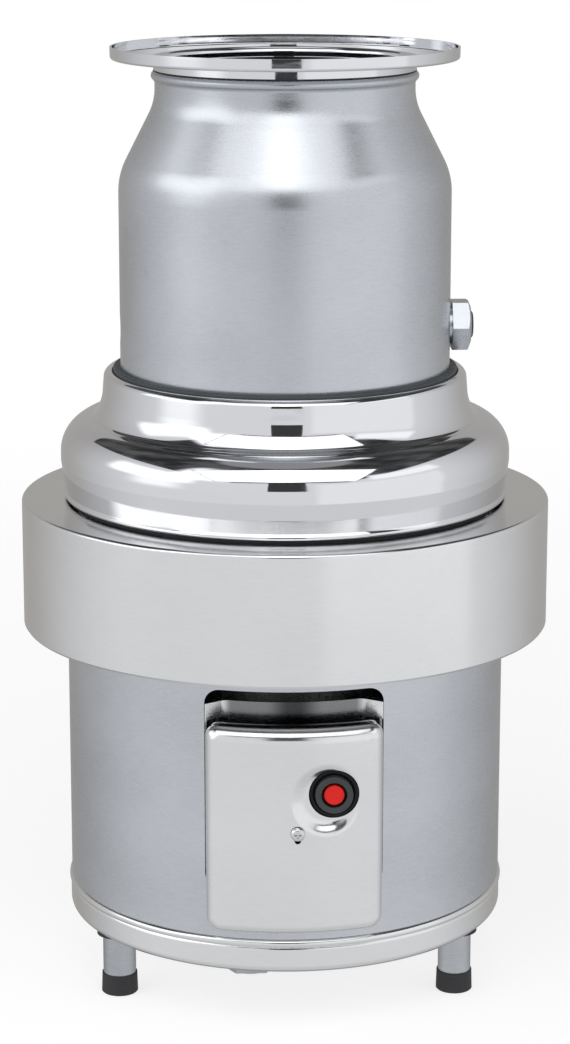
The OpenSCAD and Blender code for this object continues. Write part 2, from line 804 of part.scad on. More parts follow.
module rotating_shredder() {
    lug_top = disc_z[1] + 20;
    notch_n = 18;
    color("gray") difference() {
        union() {
            turned([[shaft_r, disc_z[0] - 29], [24, disc_z[0] - 29], [24, disc_z[0]],
                    [plate_r, disc_z[0]], [plate_r, disc_z[1]], [shaft_r, disc_z[1]]]);
            for (a = [0, 180]) rotate([0, 0, a]) intersection() {
                translate([62, -14, disc_z[1] - 1]) cube([40, 28, lug_top - disc_z[1] + 1]);
                turned([[0, disc_z[1] - 1], [plate_r - 1, disc_z[1] - 1], [plate_r - 1, disc_z[1] + 6],
                        [plate_r - 12, lug_top], [0, lug_top]]);
                translate([82, 0, 0]) rod(21, disc_z[1] - 1, lug_top + 1);
            }
            for (a = [90, 270]) rotate([0, 0, a]) translate([60, 0, 0]) rod(9, disc_z[1] - 1, disc_z[1] + 9);
        }
        for (i = [0:notch_n - 1]) rotate([0, 0, (i + 0.5) * 360 / notch_n])
            translate([plate_r - 4, -2.5, disc_z[0] - 1]) cube([6, 5, 10]);
        translate([10, -4, disc_z[0] - 25]) cube([7.3, 8, 25]);
    }
}

module shredder_washer() {
    color("silver") tube(19, 6.2, disc_z[1], disc_z[1] + 3);
}

module shredder_bolt() {
    color("silver") union() {
        rod(6, disc_z[1] - 24, disc_z[1] + 3);
        hex(18, disc_z[1] + 3, disc_z[1] + 10.5);
    }
}

module drive_key() {
    color("dimgray") translate([shaft_r - 3.5, -4, disc_z[0] - 25]) cube([6.8, 8, 25]);
}

// ---------------------------------------------------------------- drain

module drain_elbow() {
    flange_top = housing_z - 1;
    color("slategray") difference() {
        union() {
            intersection() {
                translate([-66, 35, flange_top - 7]) cube([132, 75, 7]);
                rod(111, flange_top - 8, flange_top + 1);
            }
            drain_duct(duct_r, drain_z - 16, flange_top - 3);
            facing_front(0, 150, drain_z) cylinder(r = pipe_r + 0.8, h = 108);
            facing_front(0, pipe_end, drain_z) cylinder(r = pipe_r, h = 40);
        }
        drain_duct(duct_bore, drain_z - 10, flange_top + 1);
        facing_front(0, pipe_end + 1, drain_z) cylinder(r = pipe_bore, h = pipe_end + 1 - 46);
        ring_of(post_angles, post_circle) rod(post_r + 1, flange_top - 9, flange_top + 1);
        for (p = drain_bolt_at) translate(p) rod(3.2, flange_top - 8, flange_top + 1);
    }
}

module drain_gasket() {
    color("black") difference() {
        intersection() {
            translate([-66, 35, housing_z - 1]) cube([132, 75, 1]);
            rod(111, housing_z - 2, housing_z + 1);
        }
        drain_duct(duct_bore, housing_z - 2, housing_z + 1);
        ring_of(post_angles, post_circle) rod(post_r + 1, housing_z - 2, housing_z + 1);
        for (p = drain_bolt_at) translate(p) rod(3.2, housing_z - 2, housing_z + 1);
    }
}

module drain_bolts() {
    color("silver") for (p = drain_bolt_at) translate(p) union() {
        rod(3.1, housing_z - 12, housing_z);
        hex(10, housing_z - 12, housing_z - 8);
    }
}

// ---------------------------------------------------------------- output

mounting_flange();
flange_gasket();
upper_chamber();
water_inlet_coupling();
inlet_plug();
chamber_gasket();
shoulder_trim();
trim_gasket();
skirt_ring();
motor_shell();
base_pan();
base_plate();
leg_left();
leg_right();
leg_rear();
foot_tips();
leg_washers();
leg_nuts();
terminal_box();
terminal_cover();
cover_screw();
reset_bezel();
reset_collar();
reset_button();
reset_spring();
overload_protector();
terminal_block();
terminal_screws();
conduit_gland();
gland_nut();
lower_end_bell();
motor_can();
stator_core();
stator_windings();
upper_end_bell();
motor_bolts();
motor_shaft();
rotor_core();
rotor_cage();
lower_bearing_outer();
lower_bearing_inner();
lower_balls();
upper_bearing_cup();
upper_bearing_cone();
upper_rollers();
bearing_locknut();
oil_seal();
lip_seal();
waste_housing();
housing_posts();
housing_gasket();
clamp_bolts();
stationary_shredder();
rotating_shredder();
shredder_washer();
shredder_bolt();
drive_key();
drain_elbow();
drain_gasket();
drain_bolts();
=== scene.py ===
"""Commercial food-waste disposer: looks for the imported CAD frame."""

import json
import math

import bmesh
import bpy
from mathutils import Matrix, Vector


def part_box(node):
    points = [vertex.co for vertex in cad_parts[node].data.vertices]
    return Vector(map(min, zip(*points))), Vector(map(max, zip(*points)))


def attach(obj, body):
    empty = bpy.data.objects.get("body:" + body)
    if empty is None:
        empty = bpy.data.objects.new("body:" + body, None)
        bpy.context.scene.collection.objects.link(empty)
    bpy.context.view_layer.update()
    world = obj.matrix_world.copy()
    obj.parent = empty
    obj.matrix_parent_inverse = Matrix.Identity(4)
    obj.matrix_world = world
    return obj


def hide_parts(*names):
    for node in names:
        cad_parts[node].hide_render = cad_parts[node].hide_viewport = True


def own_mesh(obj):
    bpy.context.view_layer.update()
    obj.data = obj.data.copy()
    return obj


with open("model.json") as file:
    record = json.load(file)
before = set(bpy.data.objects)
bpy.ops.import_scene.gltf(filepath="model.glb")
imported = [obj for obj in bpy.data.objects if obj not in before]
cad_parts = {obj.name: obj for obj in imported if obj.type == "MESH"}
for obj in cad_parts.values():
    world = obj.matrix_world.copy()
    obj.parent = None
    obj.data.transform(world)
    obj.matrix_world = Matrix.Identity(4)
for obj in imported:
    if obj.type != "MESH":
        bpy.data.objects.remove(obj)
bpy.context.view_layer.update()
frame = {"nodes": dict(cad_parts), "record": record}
scene = bpy.context.scene
scene.view_settings.view_transform = "Standard"


# ------------------------------------------------------------------ node helpers


def add(tree, kind, inputs=None, **settings):
    """A node of that kind with its settings, and its inputs set to values or linked to sockets."""
    made = tree.nodes.new(kind)
    for key, value in settings.items():
        setattr(made, key, value)
    for key, value in (inputs or {}).items():
        if isinstance(value, bpy.types.NodeSocket):
            tree.links.new(value, made.inputs[key])
        else:
            made.inputs[key].default_value = value
    return made


def calc(tree, operation, *values):
    """The result of a Math node."""
    return add(tree, "ShaderNodeMath", dict(enumerate(values)), operation=operation).outputs[0]


def mixed(tree, *parts):
    """The sum of sockets, each times its share."""
    first, *others = [calc(tree, "MULTIPLY", socket, share) for socket, share in parts]
    for other in others:
        first = calc(tree, "ADD", first, other)
    return first


def remap(tree, value, low, high, to_low=0.0, to_high=1.0):
    """value mapped from low..high to to_low..to_high, with eased ends."""
    inputs = {"Value": value, "From Min": low, "From Max": high}
    inputs |= {"To Min": to_low, "To Max": to_high}
    made = add(tree, "ShaderNodeMapRange", inputs, interpolation_type="SMOOTHSTEP")
    return made.outputs["Result"]


def blend(tree, share, a, b):
    """The colour a where share is 0 and b where it is 1."""
    inputs = {0: share, 6: a, 7: b}
    return add(tree, "ShaderNodeMix", inputs, data_type="RGBA").outputs[2]


def on_object(tree):
    """Object coordinates in metres."""
    return add(tree, "ShaderNodeTexCoord").outputs["Object"]


def noise(tree, scale, detail=3.0, rough=0.55):
    """Noise from 0 to 1 on object coordinates, each axis times scale."""
    placing = {"Vector": on_object(tree), "Scale": scale}
    placed = add(tree, "ShaderNodeMapping", placing).outputs["Vector"]
    inputs = {"Vector": placed, "Scale": 1.0, "Detail": detail, "Roughness": rough}
    return add(tree, "ShaderNodeTexNoise", inputs).outputs["Fac"]


def grey(value):
    """An opaque grey."""
    return (value, value, value, 1.0)


def surface(name, color, metallic, roughness, **constants):
    """A Principled material with its constants on the shader's own sockets."""
    made = bpy.data.materials.new(name)
    made.use_nodes = True
    shader = made.node_tree.nodes["Principled BSDF"]
    shader.inputs["Base Color"].default_value = (*color, 1.0)
    shader.inputs["Metallic"].default_value = metallic
    shader.inputs["Roughness"].default_value = roughness
    for key, value in constants.items():
        shader.inputs[key.replace("_", " ")].default_value = value
    return made, made.node_tree, shader


def vary(tree, shader, factor, low, high):
    """Base colour between two colours as factor goes from 0 to 1."""
    tree.links.new(blend(tree, factor, (*low, 1.0), (*high, 1.0)), shader.inputs["Base Color"])


def roughen(tree, shader, value, low, high, value_low=0.3, value_high=0.7):
    """Roughness from low to high as value goes between its own two ends."""
    made = remap(tree, value, value_low, value_high, low, high)
    tree.links.new(made, shader.inputs["Roughness"])


def bump(tree, shader, height, distance, strength=1.0):
    """Surface relief from a height socket, with the relief's depth in metres."""
    inputs = {"Height": height, "Distance": distance, "Strength": strength}
    made = add(tree, "ShaderNodeBump", inputs)
    tree.links.new(made.outputs["Normal"], shader.inputs["Normal"])


# ------------------------------------------------------------------ materials


# How often fine metal grain repeats in a metre, along X, Y and Z
FINE_GRAIN = (260.0, 260.0, 2600.0)


def brushed(name, low, high, rough_low, rough_high, anisotropy, grain_depth):
    """Sheet metal with a fine horizontal grain, soft cloudy tone and a little speckle."""
    made, tree, shader = surface(name, high, 1.0, rough_low, Anisotropic=anisotropy)
    streaks = noise(tree, (110.0, 110.0, 1100.0), detail=4.0, rough=0.65)
    fine = noise(tree, FINE_GRAIN, detail=2.0)
    clouds = noise(tree, (9.0, 9.0, 14.0), detail=3.0)
    speckle = noise(tree, (700.0, 700.0, 900.0), detail=1.0)
    grain = mixed(tree, (streaks, 0.6), (fine, 0.4))
    tone = mixed(tree, (grain, 0.45), (clouds, 0.4), (speckle, 0.15))
    vary(tree, shader, remap(tree, tone, 0.34, 0.66), low, high)
    roughen(tree, shader, tone, rough_low, rough_high)
    around = add(tree, "ShaderNodeTangent", direction_type="RADIAL", axis="Z")
    tree.links.new(around.outputs[0], shader.inputs["Tangent"])
    bump(tree, shader, mixed(tree, (grain, 1.0), (speckle, 0.25)), grain_depth)
    return made


def painted_shade_lip_steel(low, high):
    """Pressed steel with painted shade, dark in the middle of the box's lip, and painted
    highlights, light at its turned ends.
    """
    made, tree, shader = surface("painted_shade_lip_steel", high, 1.0, 0.25, Anisotropic=0.2)
    fine = noise(tree, FINE_GRAIN, detail=2.0)
    side = add(tree, "ShaderNodeSeparateXYZ", {0: on_object(tree)}).outputs[0]
    off = calc(tree, "ABSOLUTE", side)
    # Painted shade: the colour is darkest in the middle of the lip and lightens out to 2 cm either
    # side
    out_of_painted_shade = remap(tree, off, 0.003, 0.02, 0.0, 0.22)
    # Painted highlight: the colour turns light at the lip's two turned ends
    painted_highlight_ends = remap(tree, off, 0.04, 0.047, 0.0, 0.7)
    bright = mixed(tree, (out_of_painted_shade, 1.0), (painted_highlight_ends, 1.0), (fine, 0.08))
    vary(tree, shader, bright, low, high)
    roughen(tree, shader, fine, 0.2, 0.3)
    bump(tree, shader, fine, 0.00002)
    return made


def chrome(name, low, high):
    """Mirror-polished steel with faint wipe marks."""
    made, tree, shader = surface(name, high, 1.0, 0.04)
    wipes = noise(tree, (30.0, 30.0, 160.0), detail=5.0, rough=0.7)
    clouds = noise(tree, (8.0, 8.0, 12.0), detail=2.0)
    vary(tree, shader, clouds, low, high)
    roughen(tree, shader, wipes, 0.03, 0.1, 0.35, 0.75)
    bump(tree, shader, clouds, 0.0004, 0.35)
    return made


def moulded(name, color, roughness, grain=900.0, depth=0.00006, **constants):
    """Plastic or rubber with a fine moulded grain."""
    made, tree, shader = surface(name, color, 0.0, roughness, **constants)
    grains = noise(tree, (grain, grain, grain), detail=2.0)
    clouds = noise(tree, (40.0, 40.0, 40.0), detail=2.0)
    lighter = tuple(min(1.0, c * 1.25 + 0.004) for c in color)
    vary(tree, shader, clouds, tuple(c * 0.85 for c in color), lighter)
    roughen(tree, shader, grains, roughness * 0.85, roughness * 1.15)
    bump(tree, shader, grains, depth)
    return made


def cast(name, low, high, metallic, roughness, grain=420.0, depth=0.0004):
    """Rough cast metal."""
    made, tree, shader = surface(name, high, metallic, roughness)
    grains = noise(tree, (grain, grain, grain), detail=4.0, rough=0.6)
    clouds = noise(tree, (25.0, 25.0, 25.0), detail=3.0)
    vary(tree, shader, remap(tree, clouds, 0.3, 0.7), low, high)
    roughen(tree, shader, grains, roughness * 0.8, min(1.0, roughness * 1.2))
    bump(tree, shader, grains, depth, 0.6)
    return made


materials = {
    "polished_chrome": chrome("polished_chrome", (0.74, 0.75, 0.78), (0.82, 0.83, 0.85)),
    "polished_stainless": brushed(
        "polished_stainless", (0.77, 0.775, 0.78), (0.83, 0.83, 0.835), 0.14, 0.19, 0.2, 0.000008
    ),
    "satin_stainless": brushed(
        "satin_stainless", (0.54, 0.56, 0.595), (0.64, 0.665, 0.705), 0.25, 0.33, 0.3, 0.00003
    ),
    "galvanised_steel": cast(
        "galvanised_steel", (0.42, 0.43, 0.45), (0.58, 0.59, 0.61), 1.0, 0.42, 120.0, 0.00005
    ),
    "leg_tube": brushed(
        "leg_tube", (0.42, 0.44, 0.47), (0.54, 0.56, 0.59), 0.25, 0.38, 0.3, 0.00003
    ),
    "zinc_hardware": cast(
        "zinc_hardware", (0.62, 0.62, 0.61), (0.76, 0.76, 0.77), 1.0, 0.24, 300.0, 0.00003
    ),
    "brass_hardware": cast(
        "brass_hardware", (0.62, 0.47, 0.2), (0.76, 0.6, 0.3), 1.0, 0.25, 300.0, 0.00003
    ),
    "rubber": moulded("rubber", (0.022, 0.022, 0.024), 0.62, 700.0, 0.0001),
    "black_plastic": moulded("black_plastic", (0.007, 0.007, 0.009), 0.32, Specular_IOR_Level=0.2),
    "grey_plastic": moulded("grey_plastic", (0.042, 0.048, 0.048), 0.42, Specular_IOR_Level=0.35),
    "red_plastic": moulded("red_plastic", (0.72, 0.016, 0.012), 0.45, Specular_IOR_Level=0.2),
    "phenolic": moulded("phenolic", (0.1, 0.05, 0.03), 0.4),
    "cast_aluminium": cast("cast_aluminium", (0.5, 0.5, 0.5), (0.64, 0.64, 0.65), 1.0, 0.45),
    "cast_housing": cast("cast_housing", (0.15, 0.16, 0.17), (0.26, 0.27, 0.29), 0.3, 0.6),
    "cutting_alloy": cast(
        "cutting_alloy", (0.34, 0.34, 0.35), (0.5, 0.5, 0.5), 1.0, 0.38, 260.0, 0.0002
    ),
    "painted_steel": moulded("painted_steel", (0.06, 0.065, 0.075), 0.35, 260.0, 0.00005),
    "laminations": cast("laminations", (0.22, 0.22, 0.24), (0.36, 0.36, 0.37), 0.9, 0.5),
    "copper": cast("copper", (0.42, 0.17, 0.08), (0.62, 0.28, 0.14), 0.8, 0.35),
    "bearing_steel": cast(
        "bearing_steel", (0.6, 0.6, 0.61), (0.74, 0.74, 0.75), 1.0, 0.15, 200.0, 0.00001
    ),
}

# Nodes whose look differs from the rest of their slot; the terminal box's lip carries painted
# shade and painted highlights
special = {
    "terminal_box": painted_shade_lip_steel((0.03, 0.031, 0.033), (0.85, 0.86, 0.87)),
    "chamber_gasket": moulded("slate_rubber", (0.042, 0.051, 0.057), 0.5, 700.0, 0.0001),
}

for row in frame["record"]["subparts"]:
    for place in frame["nodes"][row["node"]].material_slots:
        place.material = special.get(row["node"], materials[row["material_slot"]])


# ------------------------------------------------------------------ mesh helpers

# Outlines are in millimetres, as the CAD model is, and meshes in metres
MM = 0.001
# Faces round a turned piece
SIDES = 384
# Sheet metal's thickness
SHEET = 1.5
# Turns a prism's Z to the front, -Y
FRONT = Matrix.Rotation(math.radians(90.0), 4, "X")


def extent(node):
    """A node's outer radius, lowest height and highest height, in millimetres."""
    low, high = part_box(node)
    return (high.x - low.x) / 2 / MM, low.z / MM, high.z / MM


def middle(corners):
    return tuple((a + b) / 2 / MM for a, b in zip(*corners))


def arc(centre, radius, start, end, steps=16):
    """Points along an arc between two angles in degrees."""
    turns = [math.radians(start + (end - start) * i / steps) for i in range(steps + 1)]
    return [(centre[0] + radius * math.cos(a), centre[1] + radius * math.sin(a)) for a in turns]


def circle(centre, radius, points):
    """Points round a whole circle."""
    return arc(centre, radius, 0, 360 - 360 / points, points - 1)


def braced(path, gap=0.4):
    """A path with points added near the ends of its straight stretches, for their shading."""
    made = [path[0]]
    for a, b in zip(path, path[1:]):
        length = math.dist(a, b)
        if length > 5 * gap:
            for share in (gap / length, 1 - gap / length):
                made.append((a[0] + (b[0] - a[0]) * share, a[1] + (b[1] - a[1]) * share))
        made.append(b)
    return made


def beside(path, distance):
    """A path moved to the right of its travel, with mitred corners."""
    lefts = []
    for a, b in zip(path, path[1:]):
        length = math.dist(a, b)
        lefts.append(((a[1] - b[1]) / length, (b[0] - a[0]) / length))
    made = []
    for i, (x, y) in enumerate(path):
        before, after = lefts[max(i - 1, 0)], lefts[min(i, len(lefts) - 1)]
        across = (before[0] + after[0], before[1] + after[1])
        share = 2 * distance / (across[0] ** 2 + across[1] ** 2)
        made.append((x - across[0] * share, y - across[1] * share))
    return made


def distinct(path):
    """The path without points that repeat the one before."""
    return [b for a, b in zip([None] + path, path) if a is None or math.dist(a, b) > 0.01]


def skin(path, thickness):
    """Closed outline of a sheet whose outer face follows the path."""
    outer = braced(distinct(path))
    return outer + beside(outer, thickness)[::-1]


def turned(outline):
    """A closed outline of radius and height turned about the motor axis."""
    bm = bmesh.new()
    rings = []
    for i in range(SIDES):
        turn = 2 * math.pi * (i + 0.5) / SIDES
        across, along = math.cos(turn), math.sin(turn)
        rings.append([bm.verts.new((r * across * MM, r * along * MM, z * MM)) for r, z in outline])
    for this, following in zip(rings, rings[1:] + rings[:1]):
        for i in range(len(outline)):
            bm.faces.new((this[i - 1], following[i - 1], following[i], this[i]))
    bmesh.ops.recalc_face_normals(bm, faces=bm.faces)
    return bm


def prism(bm, outline, low, high, place=Matrix()):
    """Adds a closed outline pushed from low to high along Z and then placed."""
    ends = []
    for z in (low, high):
        ends.append([bm.verts.new(place @ Vector((x * MM, y * MM, z * MM))) for x, y in outline])
    bm.faces.new(ends[0][::-1])
    bm.faces.new(ends[1])
    for i in range(len(outline)):
        bm.faces.new((ends[0][i - 1], ends[0][i], ends[1][i], ends[1][i - 1]))


def link(name, bm):
    """An object of the scene made from a bmesh, which is freed."""
    mesh = bpy.data.meshes.new(name)
    bm.to_mesh(mesh)
    bm.free()
    made = bpy.data.objects.new(name, mesh)
    scene.collection.objects.link(made)
    return made


def settle(piece):
    """The piece's modifiers worked into its mesh."""
    graph = bpy.context.evaluated_depsgraph_get()
    mesh = bpy.data.meshes.new_from_object(piece.evaluated_get(graph))
    piece.modifiers.clear()
    piece.data = mesh


def cut(piece, bm):
    """Takes a bmesh's solids out of the piece."""
    cutter = link("cutter", bm)
    made = piece.modifiers.new("cut", "BOOLEAN")
    made.object = cutter
    made.solver = "MANIFOLD"
    settle(piece)
    bpy.data.objects.remove(cutter)


def finished(piece, node, edge=32.0):
    """The piece in place of its CAD node, on the frame body, with that node's finish and smooth
    faces.
    """
    row = next(row for row in frame["record"]["subparts"] if row["node"] == node)
    piece.data.materials.clear()
    piece.data.materials.append(materials[row["material_slot"]])
    piece.data.polygons.foreach_set("use_smooth", [True] * len(piece.data.polygons))
    piece.data.set_sharp_from_angle(angle=math.radians(edge))
    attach(piece, "frame")
    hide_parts(node)


# ------------------------------------------------------------------ turned sheet metal


def flange_piece():
    """The sink flange: an upright rim, a flat face and a stepped collar."""
    radius, low, high = extent("mounting_flange")
    face_z, step_z = high - 8.0, low + 17.6
    foot_r, collar_r, throat_r = radius - 0.1, 86.5, 83.9
    bend = 2
    path = [(radius, high), (radius, high - 1.5), (foot_r, face_z + bend)]
    path += arc((foot_r - bend, face_z + bend), bend, 0, -90)
    path += arc((collar_r + bend, face_z - bend), bend, 90, 180)
    path += [(collar_r, step_z), (throat_r, step_z), (throat_r, low)]
    finished(link("sink_flange", turned(skin(path, SHEET))), "mounting_flange")


def chamber_piece():
    """The chamber's bead, neck, sloping shoulder, straight body and bolted flange."""
    radius, low, high = extent("upper_chamber")
    neck_r, body_r = 85.8, 110.4
    neck_z, shoulder_z = high - 11.4, high - 79.6
    neck_bend, shoulder_bend, slope = 36.9, 46.7, 27.5
    bead_r, foot_z = 3.2, low + 4
    neck = arc((neck_r + neck_bend, neck_z), neck_bend, 180, 180 + slope, 24)
    shoulder = arc((body_r - shoulder_bend, shoulder_z), shoulder_bend, slope, 0, 32)
    wall = [(neck_r, neck_z + 4)] + neck + shoulder + [(body_r, foot_z)]
    wall = braced(distinct(wall))
    outline = [(neck_r - SHEET, high), (neck_r + 0.4, high)]
    outline += arc((neck_r - 0.8, high - bead_r), bead_r, 60, -58) + wall
    outline += [(radius, foot_z), (radius, low), (body_r - SHEET, low)]
    outline += beside(wall, SHEET)[::-1]
    piece = link("grind_chamber", turned(distinct(outline)))
    holes = bmesh.new()
    bolts, bolt_circle_r, bolt_hole_r = 8, 118.5, 4.3
    for i in range(bolts):
        turn = 2 * math.pi * (i + 0.5) / bolts
        at = (bolt_circle_r * math.cos(turn), bolt_circle_r * math.sin(turn))
        prism(holes, circle(at, bolt_hole_r, 24), low - 1, low + 5)
    # Known fault: this hole opens the left side, and the CAD's opens the right, at the coupling
    inlet_z = middle(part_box("water_inlet_coupling"))[2]
    to_left = Matrix.Rotation(math.radians(90.0), 4, "Z") @ FRONT
    prism(holes, circle((0, inlet_z), 10.1, 36), -120, -90, to_left)
    cut(piece, holes)
    finished(piece, "upper_chamber")


def trim_piece():
    """The polished trim: a lip, a hollow fillet, a flat step, a full bulge and a beaded foot."""
    radius, low, high = extent("shoulder_trim")
    # The slopes, in degrees, at which one arc passes into the next
    draft, fillet_end, valley_end, crest_end = 4.5, 35.626, 85.0, 62.3
    inner_r, lip_r, foot_r = 1.6, 4.7, 1.9
    fillet_r, valley_r, crest_r, bulge_r = 29.0, 5.7, 16.943, 23.8

    def along(point, distance, angle):
        """The point moved inwards and down by a distance at an angle."""
        turn = math.radians(angle)
        return (point[0] - distance * math.cos(turn), point[1] - distance * math.sin(turn))

    fillet = (radius - 28.7 + fillet_r, high - 12.4)
    lip_z = high - lip_r
    rise, run = math.sin(math.radians(draft)), math.cos(math.radians(draft))
    lip_x = fillet[0] - (fillet_r + lip_r + (lip_z - fillet[1]) * rise) / run
    valley = along(fillet, fillet_r - valley_r, fillet_end)
    crest = along(valley, valley_r + crest_r, valley_end)
    path = [(lip_x - inner_r, high - 7.5)]
    path += arc((lip_x, high - inner_r), inner_r, 180, 90, 10)
    path += arc((lip_x, lip_z), lip_r, 90, draft)
    path += arc(fillet, fillet_r, 180 + draft, 180 + fillet_end, 28)
    path += arc(valley, valley_r, 180 + fillet_end, 180 + valley_end, 18)
    path += arc(crest, crest_r, valley_end, crest_end, 14)
    path += arc((radius - bulge_r, high - 54.6), bulge_r, crest_end, 0, 40)
    path += [(radius, high - 60.6), (148.4, low + 4.4)]
    path += arc((147.6, low + foot_r), foot_r, 40, -70, 12)
    finished(link("polished_trim", turned(skin(path, SHEET))), "shoulder_trim")


def ring_piece():
    """The wide skirt ring, with the arch at its back that the drain passes under."""
    radius, low, high = extent("skirt_ring")
    inner_r, bend, thickness = 138, 2.5, 2.0
    path = [(inner_r, high)] + arc((radius - bend, high - bend), bend, 90, 0)
    path += [(radius, low + 1.5), (radius - 1, low)]
    piece = link("wide_ring", turned(skin(path, thickness)))
    drain_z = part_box("drain_elbow")[0].z / MM + 38.9
    arch_r = 50
    arch = bmesh.new()
    outline = arc((0, drain_z), arch_r, 0, 180, 36) + [(-arch_r, low - 1), (arch_r, low - 1)]
    prism(arch, outline, -190, -148, FRONT)
    cut(piece, arch)
    finished(piece, "skirt_ring")


def pan_piece():
    """The base pan with its bead, leg holes, gland hole and vent slots."""
    radius, low, high = extent("base_pan")
    wall_r, seat_r, centre_r = radius - 0.9, radius - 3.4, 22
    bend, bead_r = 5, 3
    path = [(centre_r, low)] + arc((wall_r - bend, low + bend), bend, -90, 0)
    path += [(wall_r, high - 6.8)]
    path += arc((radius - bead_r, high - bead_r), bead_r, -62, 90, 24)
    path += [(seat_r, high), (seat_r, high - 5), (wall_r - SHEET, high - 7.5)]
    path += arc((wall_r - bend, low + bend), bend - SHEET, 0, -90)
    path += [(centre_r, low + SHEET)]
    piece = link("floor_pan", turned(braced(distinct(path))))
    holes = bmesh.new()
    for leg in ("leg_left", "leg_right", "leg_rear"):
        prism(holes, circle(middle(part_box(leg)), 4.4, 24), low - 1, low + 3)
    prism(holes, circle(middle(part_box("conduit_gland")), 13.2, 45), low - 1, low + 3)
    slots = 12
    slot = [(40, -3), (80, -3), (80, 3), (40, 3)]
    for i in range(slots):
        turn = Matrix.Rotation(2 * math.pi * (i + 0.5) / slots, 4, "Z")
        prism(holes, slot, low - 1, low + 3, turn)
    cut(piece, holes)
    finished(piece, "base_pan")


# ------------------------------------------------------------------ terminal cover


def cover_piece():
    """A curved panel with rolled edges, a dish for the reset button and a keyed screw hole."""
    low, high = (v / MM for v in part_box("terminal_cover"))
    half = high.x
    face_r, seat_r, corner = 158.0, 148.4, 9.0
    screw = middle(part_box("cover_screw"))[::2]
    bezel = middle(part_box("reset_bezel"))[::2]
    # The dish's middle in the front view, its outer radius and the width of its slope
    dish, dish_r, dish_slope = (bezel[0] - 4.8, bezel[1] - 3.4), 24.0, 9.0
    # Where the dish's floor lies, and how it comes forward to the left
    floor_y, floor_lean = -152.6, 0.12
    # How far the edges roll back, and how much more the top edge does (the foot does 1 mm less)
    edge_roll, top_roll = 6.5, 3.5

    def inset(x, z):
        """Distance in from the round-cornered outline, and how much the nearest edge faces up."""
        across = abs(x) - (half - corner)
        height = z - (low.z + high.z) / 2
        up = abs(height) - ((high.z - low.z) / 2 - corner)
        outside = math.hypot(max(across, 0.0), max(up, 0.0))
        tilt = max(up, 0.0) / outside if outside > 1e-6 else float(up > across)
        return corner - outside - min(max(across, up), 0.0), math.copysign(tilt, height)

    def front(x, z):
        """The outer face's y at a place in the front view."""
        depth, tilt = inset(x, z)
        roll = edge_roll + (top_roll * tilt if tilt > 0 else tilt)
        left = max(roll - depth, 0.0)
        fall = roll - math.sqrt(max(roll * roll - left * left, 0.0))
        y = -math.sqrt(face_r**2 - x * x) + fall
        share = min(max((dish_r - math.dist((x, z), dish)) / dish_slope, 0.0), 1.0)
        floor = floor_y - floor_lean * max(bezel[0] - x, 0.0)
        return y + (max(y, floor) - y) * share * share * (3 - 2 * share)

    columns, rows = 96, 122
    xs = [(half - corner) * (2 * i / columns - 1) for i in range(columns + 1)]
    zs = [low.z + corner + (high.z - low.z - 2 * corner) * i / rows for i in range(rows + 1)]
    bm = bmesh.new()

    def vertex(x, z, y=None):
        """A vertex on the outer face, or at its own y."""
        return bm.verts.new((x * MM, (front(x, z) if y is None else y) * MM, z * MM))

    grid = [[vertex(x, z) for x in xs] for z in zs]
    for lower, upper in zip(grid, grid[1:]):
        for i in range(columns):
            bm.faces.new((lower[i], lower[i + 1], upper[i + 1], upper[i]))

    def loop(depth):
        """The outline moved in by depth, one point for each place round the edge."""
        sides = [[(x, zs[0]) for x in xs], [(xs[-1], z) for z in zs]]
        sides += [[(x, zs[-1]) for x in xs[::-1]], [(xs[0], z) for z in zs[::-1]]]
        made = []
        for i, side in enumerate(sides):
            out = math.radians(-90 + 90 * i)
            dx, dz = (corner - depth) * math.cos(out), (corner - depth) * math.sin(out)
            made += [(x + dx, z + dz) for x, z in side]
            made += arc(side[-1], corner - depth, -90 + 90 * i, 90 * i, 12)[1:-1]
        return made

    depths = [corner * (1 - math.cos(math.radians(a))) for a in range(90, -1, -6)]
    loops = [[vertex(x, z) for x, z in loop(depth)] for depth in depths]
    edge = loop(0.0)
    walls = [max(front(x, z), -math.sqrt(seat_r**2 - x * x)) for x, z in edge]
    loops.append([vertex(x, z, y) for (x, z), y in zip(edge, walls)])
    for inner, outer in zip(loops, loops[1:]):
        for i in range(len(inner)):
            bm.faces.new((inner[i - 1], outer[i - 1], outer[i], inner[i]))
    bmesh.ops.remove_doubles(bm, verts=bm.verts, dist=1e-6)
    piece = link("terminal_lid", bm)
    shell = piece.modifiers.new("sheet", "SOLIDIFY")
    shell.thickness = 1.3 * MM
    shell.offset = -1.0
    settle(piece)
    behind, ahead = 140, 165
    holes = bmesh.new()
    prism(holes, circle(bezel, 16.35, 60), behind, ahead, FRONT)
    prism(holes, circle(screw, 2.9, 36), behind, ahead, FRONT)
    cut(piece, holes)
    counterbore = bmesh.new()
    counterbore_floor = math.sqrt(face_r**2 - screw[0] ** 2) - 0.6
    prism(counterbore, circle(screw, 5.2, 60), counterbore_floor, ahead, FRONT)
    cut(piece, counterbore)
    key = bmesh.new()
    prism(key, circle((screw[0], screw[1] - 4.6), 2.1, 36), behind, ahead, FRONT)
    cut(piece, key)
    finished(piece, "terminal_cover", 38.0)


# ------------------------------------------------------------------ terminal box


